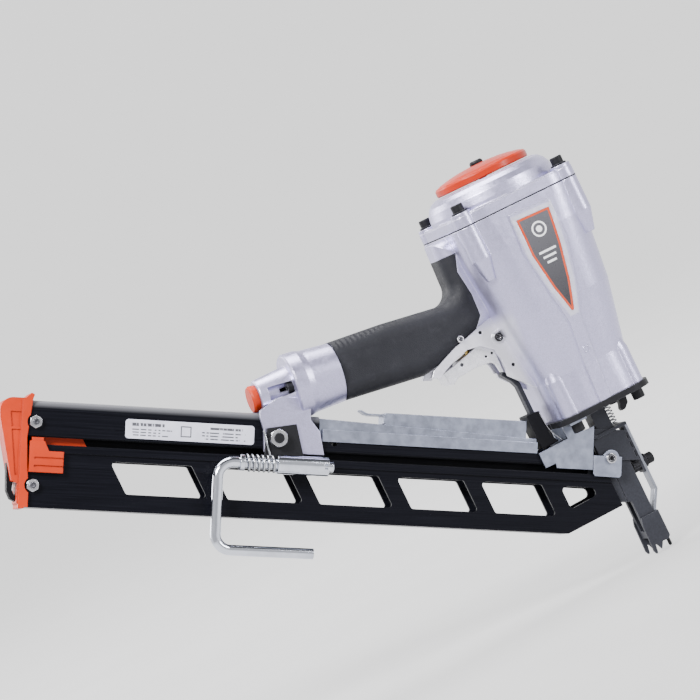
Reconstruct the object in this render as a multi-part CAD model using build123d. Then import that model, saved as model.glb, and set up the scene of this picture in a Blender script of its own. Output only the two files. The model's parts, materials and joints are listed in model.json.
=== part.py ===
from build123d import *
import os
from math import sin, cos, radians

# Pneumatic framing nailer for 30 degree strip nails up to 90 mm long. Units are millimetres.
# Origin: centre of the nail exit's mouth, on the drive axis. +Z runs up the drive axis to the cap,
# +X points forward, away from the handle, and -Y is the side that carries the rafter hook.
# Magazine coordinates: u runs rearward along the magazine, v at right angles to it, upward.
# Handle coordinates: s runs rearward along the handle's axis from the end of the grip.

# ---- driving dimensions ----
MAGAZINE_ANGLE = 29.0
HANDLE_ANGLE = 8.0
HANDLE_END = (-181.0, 231.8)
NAIL_BORE_R = 4.2
MOUTH_DEPTH = 6.0
RUNNING_FIT = 0.06
BODY_LEVELS = ((119, 40.3, 26), (151, 40.7, 27), (205, 50, 29), (262, 55, 30), (290, 55, 26))
CHAMBER_LEVELS = ((140, 35.5, 27), (151, 36, 27), (205, 42.5, 32), (262, 49, 36), (290, 49, 36))
PLATE_BOTTOM, FLOOR, JOINT, FLANGE_TOP, CAP_TOP = 114.0, 119.0, 290.0, 300.0, 319.0
GASKET = 1.0
CAP_SCREW_X, CAP_SCREW_Y, NOSE_BOLT = 46.0, 45.0, 28.7
SLEEVE_R, SLEEVE_OUTER_R = 25.0, 29.0
GRIP_HALF, GRIP_THICKNESS = 19.5, 2.5
EAR_IN, EAR_OUT = 11.0, 15.5
TRIGGER_PIVOT = (-51.8, 199.9)
LEVER_PIN = (-87.7, 192.8)
VALVE_X = -76.0
MAG_BOTTOM, MAG_TOP, MAG_FRONT_TOP = -3.5, 78.5, 59.8
MAG_REAR, MAG_FRONT_X, MAG_STEP = 514.0, -17.3, 285.0
PANEL_Y, RAIL_Y, WALL = 11.0, 12.5, 2.2
GROOVE = (44.4, 51.5)
WINDOW_BOTTOM, WINDOW_TOP = 10.0, 34.5
WINDOW_SPANS = ((-376, -320), (-306, -253), (-241.5, -189.3), (-176.5, -128), (-116, -71))
HOOK_Y, HOOK_V, HOOK_R = -24.5, 38.5, 4.25
HOOK_REAR, HOOK_LOW, HOOK_TIP = 367.0, -29.3, 289.4
CONTACT_X, STRAP_T = 15.7, 2.2
KNOB_Z = 57.0
LID_R = 40.0

SIN, COS = sin(radians(MAGAZINE_ANGLE)), cos(radians(MAGAZINE_ANGLE))
HSIN, HCOS = sin(radians(HANDLE_ANGLE)), cos(radians(HANDLE_ANGLE))
SIDES = (-1, 1)


# ---- helpers ----
def block(x0, x1, y0, y1, z0, z1):
    """A box between two corners."""
    return Pos((x0 + x1) / 2, (y0 + y1) / 2, (z0 + z1) / 2) * Box(x1 - x0, y1 - y0, z1 - z0)


def rod(start, end, radius):
    """A cylinder between two points."""
    along = Vector(*end) - Vector(*start)
    low = (Align.CENTER, Align.CENTER, Align.MIN)
    return Plane(origin=start, z_dir=along) * Cylinder(radius, along.length, align=low)


def cross_rod(x, z, radius, y0, y1):
    """A cylinder across the tool, along Y."""
    return rod((x, y0, z), (x, y1, z), radius)


def turned(profile):
    """A profile of radius and height, turned about Z."""
    return revolve(Plane.XZ * Polygon(*profile, align=None), Axis.Z)


def slab(face, y0, y1):
    """A face drawn in X and Z, thickened from y0 to y1."""
    placed = Plane(origin=(0, y1, 0), x_dir=(1, 0, 0), z_dir=(0, -1, 0)) * face
    return extrude(placed, y1 - y0, dir=(0, -1, 0))


def outline(points, radius=0):
    """A polygon, with all its corners rounded when a radius is given."""
    face = Polygon(*points, align=None)
    return fillet(face.vertices(), radius) if radius else face


def mag(u, v):
    """A point of the magazine's side view, as X and Z."""
    return (-u * COS + v * SIN, u * SIN + v * COS)


def mag_at(u, y, v):
    x, z = mag(u, v)
    return (x, y, z)


def mag_slab(points, y0, y1, radius=0):
    return slab(outline([mag(u, v) for u, v in points], radius), y0, y1)


def mag_block(u0, u1, v0, v1, y0, y1, radius=0):
    return mag_slab([(u0, v0), (u1, v0), (u1, v1), (u0, v1)], y0, y1, radius)


def side_slab(face, inner, outer, side):
    """A face thickened between two distances from the middle plane, on one side."""
    return slab(face, min(side * inner, side * outer), max(side * inner, side * outer))


def handle_plane(s):
    x, z = HANDLE_END
    return Plane(origin=(x - s * HCOS, 0, z + s * HSIN), x_dir=(0, 1, 0), z_dir=(-HCOS, 0, HSIN))


def handle_point(s, h):
    x, z = HANDLE_END
    return (x - s * HCOS + h * HSIN, z + s * HSIN + h * HCOS)


def square_loft(levels, grow=0):
    """Rounded squares at several heights, joined by straight sides."""
    faces = [
        Plane.XY.offset(z) * RectangleRounded(2 * (half + grow), 2 * (half + grow), radius + grow)
        for z, half, radius in levels
    ]
    return loft(faces, ruled=True)


def corners(x, y):
    return [(sx * x, sy * y) for sx in SIDES for sy in SIDES]


def coil(bottom, height, turns, radius, wire):
    """A compression spring about Z."""
    path = Helix(pitch=height / turns, height=height, radius=radius)
    section = Plane(origin=path @ 0, z_dir=path % 0) * Circle(wire)
    return Pos(*bottom) * sweep(section, path=path, is_frenet=True)


def socket_screw(head_r, head_h, shank_r, shank, socket_r):
    """A socket screw with its head's underside at the origin and its shank along -Z."""
    head = Pos(0, 0, head_h / 2) * Cylinder(head_r, head_h)
    head = chamfer(head.edges().group_by(Axis.Z)[-1], head_r * 0.12)
    head -= Pos(0, 0, head_h) * extrude(RegularPolygon(socket_r, 6), -head_h * 0.55)
    return head + Pos(0, 0, -shank / 2) * Cylinder(shank_r, shank)


def hex_nut(across_flats, thickness, hole_r):
    """A nut standing on the origin."""
    nut = extrude(RegularPolygon(across_flats / 2, 6, major_radius=False), thickness)
    nut &= turned([(0, 0), (across_flats * 0.54, 0), (across_flats * 0.58, thickness * 0.15),
                   (across_flats * 0.58, thickness * 0.8), (across_flats * 0.5, thickness), (0, thickness)])
    return nut - Pos(0, 0, thickness / 2) * Cylinder(hole_r, thickness * 2)


def facing(x, y, z, side):
    """A frame whose +Z points out of the tool's side."""
    return Plane(origin=(x, y, z), x_dir=(1, 0, 0), z_dir=(0, side, 0))


# ---- handle outlines ----
HANDLE_TOP = [(-38, 289), (-68, 289), (-70.5, 240.5), (-133.6, 250.6)]
HANDLE_UNDER = [(-119, 198.2), (-104, 200.2), (-68, 210.5), (-38, 216)]
GRIP_REGION = [(-100, 276.2), (-55, 275.2), (-60.2, 261), (-57.6, 240), (-58.6, 222), (-68.5, 209.3),
               (-86, 205.3), (-102, 200.6), (-113, 195), (-130, 170), (-260, 180), (-260, 300)]


def handle_face(inset):
    """The handle's side view, drawn in by the inset everywhere but at its end."""
    end = [handle_point(inset, 24.2), handle_point(inset, -23.6)]
    face = Polygon(*HANDLE_TOP, *end, *HANDLE_UNDER, align=None)
    face = fillet([v for v in face.vertices() if abs(v.X + 70.5) < 0.1], 13)
    face = fillet([v for v in face.vertices() if abs(v.X + 119) < 0.1], 8)
    return offset(face, -inset) if inset else face


def handle_solid(inset, rounding):
    """The handle and its web to the body, rounded along its long edges."""
    half = GRIP_HALF - inset
    solid = slab(handle_face(inset), -half, half)
    rims = [e for e in solid.edges() if abs(abs(e.center().Y) - half) < 0.01 and e.center().X > -176]
    return fillet(rims, rounding)


def grip_region():
    return slab(Polygon(*GRIP_REGION, align=None), -40, 40)


# ---- housing ----
EAR_OUTLINE = [(-63.7, 214), (-44, 218), (-40, 200), (-40, 149), (-47.5, 157), (-57.9, 168.9), (-57.4, 184),
               (-59.1, 192.1), (-67.9, 199.6), (-79.6, 201.8), (-92.6, 198.9), (-104.1, 194.3),
               (-109.5, 191.1), (-116.4, 194.2), (-112, 198.8), (-89.1, 207.5), (-70.3, 212)]
BADGE_TAIL = [(-5.3, 155), (-6.9, 119), (2.6, 119), (5.6, 153)]
FRAME_OUTLINE = [(-13.8, 284), (-16, 253), (-8.4, 209), (-3.6, 187)] + BADGE_TAIL + [
    (7.2, 189), (12.8, 205), (22.5, 249), (22.3, 282)]
BADGE_OUTLINE = [(-10.4, 277.6), (-10.4, 247.4), (-4.7, 216.3), (1.6, 194.6), (3.8, 194.6), (10.4, 217.7),
                 (15.6, 245.5), (19.2, 276.5)]


def air_way():
    """The passage from the handle's end into the main chamber, with one bend."""
    x, z = handle_point(2, 0)
    bend = (-95, 0, handle_point(-86, 0)[1])
    return rod((x, 0, z), bend, 11) + Pos(*bend) * Sphere(11) + rod(bend, (-38, 0, 242), 11)


def housing():
    body = square_loft(BODY_LEVELS)
    for x, y in corners(CAP_SCREW_X, CAP_SCREW_Y):
        body += Pos(x, y, 276) * Cylinder(9, 28)
        body += Pos(x, y, 253) * Cone(4, 9, 18)
    for x, y in corners(NOSE_BOLT, NOSE_BOLT):
        body += Pos(x, y, 134) * Cylinder(9, 30)
        body += Pos(x, y, 160) * Cone(9, 4, 22)
    body += handle_solid(0, 13) - grip_region()
    body += handle_solid(GRIP_THICKNESS, 10)
    for side in SIDES:
        body += side_slab(outline(EAR_OUTLINE), EAR_IN, EAR_OUT, side)
    body += slab(Polygon(*FRAME_OUTLINE, align=None), -60, -34) & square_loft(BODY_LEVELS, 1.4)
    body -= slab(Polygon(*BADGE_OUTLINE, align=None), -60, -34) - square_loft(BODY_LEVELS, 0.5)
    body -= square_loft(CHAMBER_LEVELS)
    body -= air_way()
    body -= Pos(0, 0, 130) * Cylinder(SLEEVE_OUTER_R + 0.02, 24)
    body -= Pos(VALVE_X, 0, 212) * Cylinder(8.02, 30)
    for x, y in corners(CAP_SCREW_X, CAP_SCREW_Y):
        body -= Pos(x, y, 280) * Cylinder(3.02, 24)
    for x, y in corners(NOSE_BOLT, NOSE_BOLT):
        body -= Pos(x, y, 127) * Cylinder(3.02, 18)
    x, z = TRIGGER_PIVOT
    body -= cross_rod(x, z, 3.01, -20, 20)
    body -= cross_rod(x, z, 4.6, -20, -EAR_OUT)
    body -= cross_rod(x, z, 6.6, -EAR_IN - 0.01, EAR_IN + 0.01)
    body -= block(-62, x + 1, -EAR_IN, EAR_IN, 160, z)
    body -= cross_rod(-81.9, 212, 1.52, -22, 22)
    for x, z, r in ((-63.9, 209.5, 1.5), (-50.5, 175, 1.5)):
        for side in SIDES:
            body -= cross_rod(x, z, r, side * (EAR_OUT - 2), side * (EAR_OUT + 6))
    x, z = handle_point(0, 0)
    hole_x, hole_z = handle_point(-22, 0)
    for side in SIDES:
        body -= rod((x, side * 13.6, z), (hole_x, side * 13.6, hole_z), 2.52)
    return body


def name_badge():
    skin = square_loft(BODY_LEVELS, 1.3) - square_loft(BODY_LEVELS, 0.55)
    return slab(offset(Polygon(*BADGE_OUTLINE, align=None), -0.15), -60, -34) & skin


def grip_sleeve():
    grip = (handle_solid(0, 13) & grip_region()) - handle_solid(GRIP_THICKNESS, 10)
    grip -= square_loft(BODY_LEVELS)
    below_ears = [(-117, 150), (-117, 194.2), (-112.1, 198.9), (-89.2, 207.6), (-70.4, 212.1), (-63.7, 214.1),
                  (-40, 218.9), (-40, 150)]
    grip -= slab(outline(below_ears), -25, 25)
    grip -= cross_rod(-81.9, 212, 2.9, -22, 22)
    grip -= Pos(VALVE_X, 0, 205) * Cylinder(8.6, 30)
    return grip


def flange_face():
    """The outline shared by the cap's flange and its gasket."""
    face = RectangleRounded(110, 110, 26)
    for x, y in corners(CAP_SCREW_X, CAP_SCREW_Y):
        face += Pos(x, y) * Circle(9)
    return face


def cylinder_cap():
    bottom = JOINT + GASKET
    cap = Pos(0, 0, bottom) * extrude(flange_face(), FLANGE_TOP - bottom - 1.2)
    cap += Pos(0, 0, bottom) * extrude(offset(flange_face(), -1.0), FLANGE_TOP - bottom)
    cap += turned([(0, bottom), (54.2, bottom), (54.2, 303), (53.2, 309.5), (50.8, 314), (47.6, 317),
                   (43, CAP_TOP), (0, CAP_TOP)])
    for x, y in corners(CAP_SCREW_X, CAP_SCREW_Y):
        cap += Pos(x, y, (bottom + 302) / 2) * Cylinder(8.6, 302 - bottom)
        cap -= Pos(x, y, 312) * Cylinder(8.0, 20)
        cap -= Pos(x, y, 296) * Cylinder(3.06, 20)
    cap -= Pos(0, 0, 300) * Cylinder(34, 18)
    cap -= Pos(0, 0, 300 - 9.01 + 4) * Cylinder(47, 8.02) - Pos(0, 0, 295) * Cylinder(37, 20)
    cap -= Pos(0, 0, 314) * Cylinder(3.0, 20)
    for turn in range(6):
        cap -= Rot(0, 0, turn * 60) * Pos(20, 0, 314) * Cylinder(4, 12)
    return cap


def cap_gasket():
    face = flange_face() - RectangleRounded(98, 98, 36)
    for x, y in corners(CAP_SCREW_X, CAP_SCREW_Y):
        face -= Pos(x, y) * Circle(3.06)
    return Pos(0, 0, JOINT) * extrude(face, GASKET)


def cap_screws():
    return [Pos(x, y, 303.5) * socket_screw(5, 6, 3, 34, 2.9) for x, y in corners(CAP_SCREW_X, CAP_SCREW_Y)]


def cap_washers():
    ring = Pos(0, 0, 0.75) * Cylinder(6.4, 1.5) - Cylinder(3.05, 10)
    return [Pos(x, y, 302) * ring for x, y in corners(CAP_SCREW_X, CAP_SCREW_Y)]


def exhaust_deflector():
    dome = turned([(3.46, 319.4), (8, 319.4), (8, 323), (37.2, 321.8), (37.2, 319.6), (LID_R - 0.8, 319.6),
                   (LID_R, 320.6), (LID_R, 324.6), (LID_R - 1.2, 326.2), (34, 327.9), (27, 329.4),
                   (19, 330.6), (7.2, 331.4), (7.2, 330.8), (3.46, 330.8)])
    opening = Rot(0, 0, 60) * block(30, 45, -15, 15, 319, 322.2)
    return dome - opening


def deflector_screw():
    shank = turned([(0, 309.5), (2.98, 309.5), (2.98, 319.05), (3.4, 319.05), (3.4, 331.1), (5.6, 331.1),
                    (5.6, 333.2), (4.4, 334.6), (0, 334.6)])
    return shank - Pos(0, 0, 334.6) * extrude(RegularPolygon(2.4, 6), -2)


# ---- drive: sleeve, piston, head valve ----
def cylinder_sleeve():
    sleeve = turned([(SLEEVE_R, 122), (SLEEVE_OUTER_R, 122), (SLEEVE_OUTER_R, 268), (SLEEVE_R, 268)])
    for z in (128, 136):
        sleeve -= Pos(0, 0, z) * Torus(28.05, 1.06)
    for turn in range(8):
        sleeve -= Rot(0, 0, turn * 45) * rod((20, 0, 160), (35, 0, 160), 2.2)
    return sleeve


def sleeve_seals():
    return [Pos(0, 0, z) * Torus(28.0, 1.0) for z in (128, 136)]


def bumper():
    return turned([(5.2, 119.2), (20, 119.2), (20, 122.2), (24.6, 122.2), (24.6, 138), (21, 149.5),
                   (9, 149.5), (5.2, 146)])


def piston():
    body = turned([(0, 252), (9, 252), (12, 256), (24.4, 256), (24.4, 259.2), (22.6, 259.2), (22.6, 262.3),
                   (24.4, 262.3), (24.4, 266.5), (0, 266.5)])
    return body - Pos(0, 0, 255) * Cylinder(3.62, 7)


def piston_ring():
    return turned([(22.7, 259.3), (24.95, 259.3), (24.95, 262.2), (22.7, 262.2)])


def driver_blade():
    return turned([(0, 98), (2.6, 98), (3.4, 100), (3.6, 104), (3.6, 258.4), (0, 258.4)])


def head_valve():
    return turned([(0, 268.4), (31, 268.4), (31, 285), (33.92, 286), (33.92, 297), (26, 297), (26, 273.4),
                   (0, 273.4)])


def head_valve_spring():
    return coil((0, 0, 274.9), 32.4, 4, 20, 1.3)


# ---- trigger and its valve ----
TRIGGER_OUTLINE = [(-105, 192.6), (-103.9, 184), (-100.3, 181.6), (-95.4, 184.8), (-80, 185.6),
                   (-64.4, 184.4), (-62, 181.6), (-61, 173.9), (-58.8, 172.8), (-58.4, 188),
                   (-54.4, 193.6), (-47.5, 196.5), (-46.1, 200.5), (-48.3, 204.6), (-52.8, 206),
                   (-62, 203), (-80, 198), (-98, 194)]
TRIGGER_HOLLOW = [(-101, 194.6), (-100.6, 188), (-80, 189), (-64, 188), (-63.2, 160), (-40, 160), (-40, 215),
                  (-62, 215)]


def trigger():
    shell = slab(outline(TRIGGER_OUTLINE), -10.6, 10.6)
    shell -= slab(Polygon(*TRIGGER_HOLLOW, align=None), -7.4, 7.4)
    shell -= cross_rod(*TRIGGER_PIVOT, 3 + RUNNING_FIT, -20, 20)
    shell -= cross_rod(*LEVER_PIN, 1.52, -20, 20)
    for x, z in ((-60.9, 190.6), (-66.5, 190.1)):
        for side in SIDES:
            shell -= cross_rod(x, z, 1.1, side * 9, side * 12)
    return shell


def trigger_pin():
    x, z = TRIGGER_PIVOT
    pin = cross_rod(x, z, 3, -EAR_OUT, EAR_OUT + 0.8)
    pin += cross_rod(x, z, 4.3, -EAR_OUT - 1.4, -EAR_OUT)
    return pin - facing(x, -EAR_OUT - 1.4, z, -1) * extrude(RegularPolygon(1.9, 6), -1.2)


def lever_pin():
    return cross_rod(*LEVER_PIN, 1.5, -10.5, 10.5)


def trigger_lever():
    x, z = LEVER_PIN
    lever = block(x, -56, -4.6, 4.6, 190.9, 192.5) + cross_rod(x, z, 3.4, -4.6, 4.6)
    return lever - cross_rod(x, z, 1.5 + RUNNING_FIT, -6, 6)


def trigger_valve_body():
    body = turned([(2.05, 204), (7, 204), (8, 205), (8, 226), (0, 226), (0, 222), (5, 222), (5, 209),
                   (2.05, 209)])
    return Pos(VALVE_X, 0, 0) * body - cross_rod(-81.9, 212, 1.52, -22, 22)


def trigger_valve_stem():
    return Pos(VALVE_X, 0, 0) * turned([(0, 193.6), (1.6, 193.6), (2, 194.2), (2, 209.2), (4, 209.2),
                                        (4, 212), (0, 212)])


def trigger_valve_spring():
    return coil((VALVE_X, 0, 212.6), 8.8, 4, 3.4, 0.45)


def valve_pin():
    return cross_rod(-81.9, 212, 1.5, -19.6, 19.6)


# ---- handle end ----
def mag_envelope():
    """The room that the magazine takes between the cheeks of the handle end."""
    return mag_block(270, 345, -20, MAG_TOP + 0.3, -12.9, 12.9)


def end_cap():
    cap = handle_plane(0) * turned([(0, 0.6), (24, 0.6), (25.2, 24), (26.5, 29), (26.5, 38.6), (25.2, 40),
                                    (17.5, 40), (14, 66.4), (13, 67.2), (0, 67.2)])
    cheek = [(334, 80), (334, 75), (330.4, 66), (329.4, 48.2), (281.3, 48.2), (285.4, 66.4), (293, 75),
             (294, 92), (318, 92)]
    for side in SIDES:
        cap += side_slab(outline([mag(u, v) for u, v in cheek]), 13, 16, side)
    lug = [(-255.5, 226), (-256.5, 218), (-231.5, 210.6), (-226, 214), (-226, 232), (-240, 232),
           (-246, 227.4)]
    cap += slab(outline(lug), -14.5, 14.5)
    cap -= mag_envelope()
    cap -= handle_plane(20) * Cylinder(9.5, 60)
    cap -= handle_plane(60) * Cylinder(7.3, 40)
    stud = mag_at(319.7, 0, 58.9)
    cap -= cross_rod(stud[0], stud[2], 4.05, -30, 30)
    for side in SIDES:
        cap -= handle_plane(0) * Pos(side * 13.6, 0, 20) * Cylinder(2.6, 60)
        cap -= handle_plane(0) * Pos(side * 14.4, 0, 50.1) * Cylinder(5.2, 20)
    return cap


def end_cap_gasket():
    face = handle_plane(0) * (Circle(17) - Circle(9.6))
    for side in SIDES:
        face -= handle_plane(0) * Pos(side * 13.6, 0) * Circle(2.6)
    return extrude(face, 0.6)


def end_cap_screws():
    return [handle_plane(40.1) * Pos(side * 13.6, 0) * socket_screw(4, 5, 2.5, 60, 2.3) for side in SIDES]


def inlet_plug():
    return handle_plane(0) * turned([(0, 53), (7.2, 53), (7.2, 67.3), (10.5, 67.3), (10.9, 71.4), (9.8, 73.1),
                                     (0, 73.5)])


# ---- nose ----
def nose_plate():
    plate = Pos(0, 0, PLATE_BOTTOM) * extrude(RectangleRounded(85, 84, 20), FLOOR - PLATE_BOTTOM)
    plate += block(-46, -40, -9, 9, PLATE_BOTTOM, FLOOR)
    finger = outline([(21.4, 114), (20.7, 106.2), (19.5, 103.2), (20.3, 101.2), (23.2, 101.4), (27.6, 105.4),
                      (28.8, 114)])
    plate += slab(finger, -3, 3)
    plate -= Pos(0, 0, 116) * Cylinder(4.4, 12)
    for x, y in corners(NOSE_BOLT, NOSE_BOLT):
        plate -= Pos(x, y, 116) * Cylinder(3.06, 12)
    return plate


def nose_bolts():
    bolts = []
    for x, y in corners(NOSE_BOLT, NOSE_BOLT):
        seat = PLATE_BOTTOM - (2.05 if x < 0 else 0.05)
        bolts.append(Pos(x, y, seat) * Rot(180, 0, 0) * socket_screw(5, 7.6, 3, 18, 2.9))
    return bolts


def drive_guide():
    guide = block(-8, 5.5, -8, 8, 0, PLATE_BOTTOM)
    guide += slab(outline([(-17, 37.5), (-8.5, 33), (-8, 33), (-8, 96), (-17, 96)]), -8, 8)
    for side in SIDES:
        guide -= side_slab(outline([(-11.4, 30), (-10.6, 30), (-10.6, 90), (-11.4, 90)]), 7.4, 9, side)
    guide -= Pos(0, 0, MOUTH_DEPTH / 2) * Cylinder(NAIL_BORE_R, MOUTH_DEPTH)
    guide -= Pos(0, 0, MOUTH_DEPTH + 60) * Cylinder(NAIL_BORE_R + 0.4, 120)
    guide -= block(-20, 0, -NAIL_BORE_R, NAIL_BORE_R, MOUTH_DEPTH, 96.5)
    for side in SIDES:
        guide -= cross_rod(-10.6, 72.5, 2.52, side * 5, side * 9)
    return guide


def nose_cover():
    """The two cheeks that cover the sides of the guide, in front of the magazine."""
    face = [(-16.5, 101.4), (-9, 98.2), (13, 86.6), (13, 60.2), (-0.5, 66.2), (-16.5, 74)]
    cheeks = []
    for side in SIDES:
        cheek = side_slab(outline(face), 8.2, 9.7, side)
        for z in (63.5, 71.5, 79.5):
            cheek -= block(11.6, 14, -12, 12, z, z + 5.4)
        cheek -= cross_rod(-10.6, 72.5, 2.6, -20, 20)
        cheeks.append(cheek)
    return cheeks


def nose_brackets():
    plates = []
    face = outline([(-63.2, 102.4), (-36, 102.4), (-36, 112), (-21, 112), (-21, 102.2), (-11.4, 101.8),
                    (-28.6, 71), (-54.9, 85.5), (-53.9, 89.2), (-63.1, 89.4)])
    for side in SIDES:
        plate = side_slab(face, 13, 15, side)
        foot = block(-36, -21, 13, 35, 112, PLATE_BOTTOM)
        foot = foot if side > 0 else mirror(foot, Plane.XZ)
        plate += foot
        plate -= Pos(-NOSE_BOLT, side * NOSE_BOLT, 113) * Cylinder(3.06, 6)
        plates.append(plate)
    return plates


def nose_clips():
    clips = []
    ear = mag(43.9, 58.6)
    for side in SIDES:
        clip = side_slab(outline([mag(u, v) for u, v in ((58.8, 59.8), (58.6, 45), (57.2, 43.4), (36.6, 43.2),
                                                         (35.2, 45), (35, 59.9))]), 13, 15, side)
        clip += side_slab(Pos(*ear) * Circle(6.6), 13, 15, side)
        clip += side_slab(Pos(*ear) * Circle(5), 9.75, 13, side)
        clips.append(clip - cross_rod(-10.6, 72.5, 2.6, -20, 20))
    return clips


def clip_screws():
    screws = []
    for side in SIDES:
        screw = turned([(0, -9.6), (2.5, -9.6), (2.5, 0.05), (4.6, 0.05), (4.2, 2.2), (3, 2.8), (0, 2.8)])
        screw -= Pos(0, 0, 2.8) * extrude(RegularPolygon(2.2, 6), -2)
        screws.append(facing(-10.6, side * 15, 72.5, side) * screw)
    return screws


def arm_guide():
    """The plastic block that the contact arm slides through, behind the body."""
    face = [(-57.5, 133), (-46.1, 132.4), (-46.1, 112), (-44, 107), (-41.5, 103.6), (-57.2, 103.6)]
    guide = slab(outline(face, 0.8), -10, 10) - block(-52.6, -47.4, -4.8, 4.8, 100, 140)
    return guide - block(-52.6, -38, -4.8, 4.8, 100, 114.6)


# ---- work contact ----
def contact_yoke():
    """The fork round the guide and the arm that runs up to the trigger."""
    yoke = block(-51.8, -18, -4, 4, 98, 101.4)
    arm = [(-51.8, 98), (-48.2, 98), (-48.2, 158.6), (-50.4, 164.6), (-57.4, 173.4), (-59.8, 170.6),
           (-54, 162.6), (-51.8, 157)]
    yoke += slab(outline(arm), -4, 4)
    yoke += block(-21.6, -18, -12, 12, 98, 101.4)
    fork = outline([(-21.6, 101.4), (-21.6, 98), (-13, 90.8), (15.4, 90.8), (15.4, 93.4), (-12, 93.4),
                    (-17.5, 98.4), (-17.5, 101.4)])
    for side in SIDES:
        yoke += side_slab(fork, 10, 12, side)
    yoke += block(6, 15.4, -12, 12, 90.8, 93.4)
    yoke += block(13.6, 15.4, -5.5, 5.5, 49, 93.4)
    yoke -= rod((10, 0, KNOB_Z), (20, 0, KNOB_Z), 2 + RUNNING_FIT)
    return yoke


def contact_spring():
    return coil((9.8, 0, 94.1), 19.3, 7, 3.1, 0.5)


def depth_knob():
    """Clamp screw through the rail: knurled wheel inside, collar and round knob outside."""
    knob = rod((7.4, 0, KNOB_Z), (26.6, 0, KNOB_Z), 2)
    wheel = Rot(0, 90, 0) * extrude(Circle(6.1) - [
        Rot(0, 0, turn * 22.5) * Pos(6.4, 0) * Circle(0.7) for turn in range(16)], 5.7)
    knob += Pos(7.6, 0, KNOB_Z) * wheel
    knob += rod((18.2, 0, KNOB_Z), (20.4, 0, KNOB_Z), 5.8)
    knob += chamfer(rod((21, 0, KNOB_Z), (27, 0, KNOB_Z), 4.6).edges().filter_by(GeomType.CIRCLE), 0.6)
    return knob


def contact_strap():
    """The flat strap from the claw up to the rail, with the slot for the clamp screw."""
    x = CONTACT_X
    path = [(7, 12), (9.2, 12), (9.2, 18.6), (x + STRAP_T, 32.6), (x + STRAP_T, 91), (x, 91), (x, 33.2),
            (7, 19.2)]
    strap = slab(outline(path), -5, 5)
    strap -= block(x - 1, x + 4, -2.3, 2.3, KNOB_Z - 9, KNOB_Z + 2.6)
    return strap


def contact_claw():
    side_face = [(-7.6, 17.8), (-9.3, 12), (-9.9, -10.8), (-8.6, -13.6), (-7.4, -13.2), (-6.2, -6),
                 (-4.8, -7.4), (-2.8, -11.8), (0.6, -6.6), (5.6, -7), (8.8, -4.4), (8.8, 17.6)]
    claw = [side_slab(outline(side_face), 8.4, 10.6, side) for side in SIDES]
    claw = claw[0] + claw[1] + block(6.6, 8.8, -10.6, 10.6, -4.4, 17.6)
    claw = fillet([e for e in claw.edges().filter_by(Axis.Z) if e.center().X > 8.7], 1.6)
    return claw - block(6, 12, -5.05, 5.05, 11.95, 30)


def contact_prong():
    return rod((10.35, 4, -13.2), (10.35, 4, 6), 1.5) + Pos(10.35, 4, -13.2) * Sphere(1.5)


# ---- magazine ----
def window_face(x0, x1):
    """A window with its ends parallel to the drive axis and its edges along the magazine."""
    def level(x, v):
        return (x, (v - x * SIN) / COS)
    return outline([level(x0, WINDOW_TOP), level(x1, WINDOW_TOP), level(x1, WINDOW_BOTTOM),
                    level(x0, WINDOW_BOTTOM)], 2.6)


def magazine_body():
    low, high = GROOVE
    front = 10
    body = mag_block(front, MAG_REAR, MAG_BOTTOM, 40, -PANEL_Y, PANEL_Y)
    body += mag_block(front, MAG_REAR, 39, low, -RAIL_Y, RAIL_Y)
    body += mag_block(front, MAG_REAR, low, high, -PANEL_Y, PANEL_Y)
    body += mag_block(front, MAG_REAR, high, MAG_FRONT_TOP, -RAIL_Y, RAIL_Y)
    upper = mag_block(MAG_STEP, MAG_REAR, high, MAG_TOP, -RAIL_Y, RAIL_Y)
    crest = [e for e in upper.edges() if e.length > 200 and mag_height(e.center()) > MAG_TOP - 1]
    body += fillet(crest, 6)
    body -= mag_block(front - 5, MAG_REAR + 5, -1.3, high, -PANEL_Y + WALL, PANEL_Y - WALL)
    body -= mag_block(front - 5, MAG_REAR + 5, high - 1, MAG_FRONT_TOP - 2, -RAIL_Y + WALL, RAIL_Y - WALL)
    body -= mag_block(front - 5, MAG_REAR + 5, 50, MAG_FRONT_TOP + 1, -4.4, 4.4)
    body -= mag_block(MAG_STEP - 5, MAG_REAR + 5, MAG_FRONT_TOP, MAG_TOP - 2.4, -RAIL_Y + WALL, RAIL_Y - WALL)
    body -= mag_block(62, MAG_REAR + 5, 45, 50.6, -RAIL_Y - 1, 0)
    for x0, x1 in WINDOW_SPANS:
        body -= slab(window_face(x0, x1), -20, 20)
    nose_window = [(-57.8, 71.2), (-33, 57.2), (-33, 50.9), (-57.8, 50.4)]
    body -= slab(outline(nose_window, 3.4), -20, 20)
    body -= block(MAG_FRONT_X, 80, -20, 20, -60, 120)
    body -= block(-72, 0, -20, 20, -60, 34)
    for u, v in END_BOLTS:
        body -= mag_cross(u, v, 2.55, -20, 20)
    for side in SIDES:
        body -= mag_cross(319.7, 58.9, 4.02, side * 9, side * 14)
    body -= mag_cross(272.4, 58.9, 3.2, -14, 14)
    return body


def mag_height(point):
    return point.X * SIN + point.Z * COS


def mag_cross(u, v, radius, y0, y1):
    x, z = mag(u, v)
    return cross_rod(x, z, radius, y0, y1)


END_BOLTS = ((508, 61.8), (508, 13.3))


def top_channel():
    """Zinc-plated channel that closes the front half of the magazine."""
    crown = mag_slab([(106, 60.1), (284.6, 60.1), (284.6, 77), (106, 70.6)], -10.2, 10.2)
    crown -= mag_block(100, 290, 59, 67.4, -8.8, 8.8)
    flange = outline([mag(u, v) for u, v in ((106, 60.1), (282.6, 60.1), (282.6, 68.4), (106, 67.6))])
    lip = outline([mag(u, v) for u, v in ((106, 59), (282.6, 59), (282.6, 68.4), (106, 67.6))])
    for side in SIDES:
        crown += side_slab(flange, 8.8, 13.2, side)
        crown += side_slab(lip, 12.6, 13.8, side)
    return crown


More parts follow.
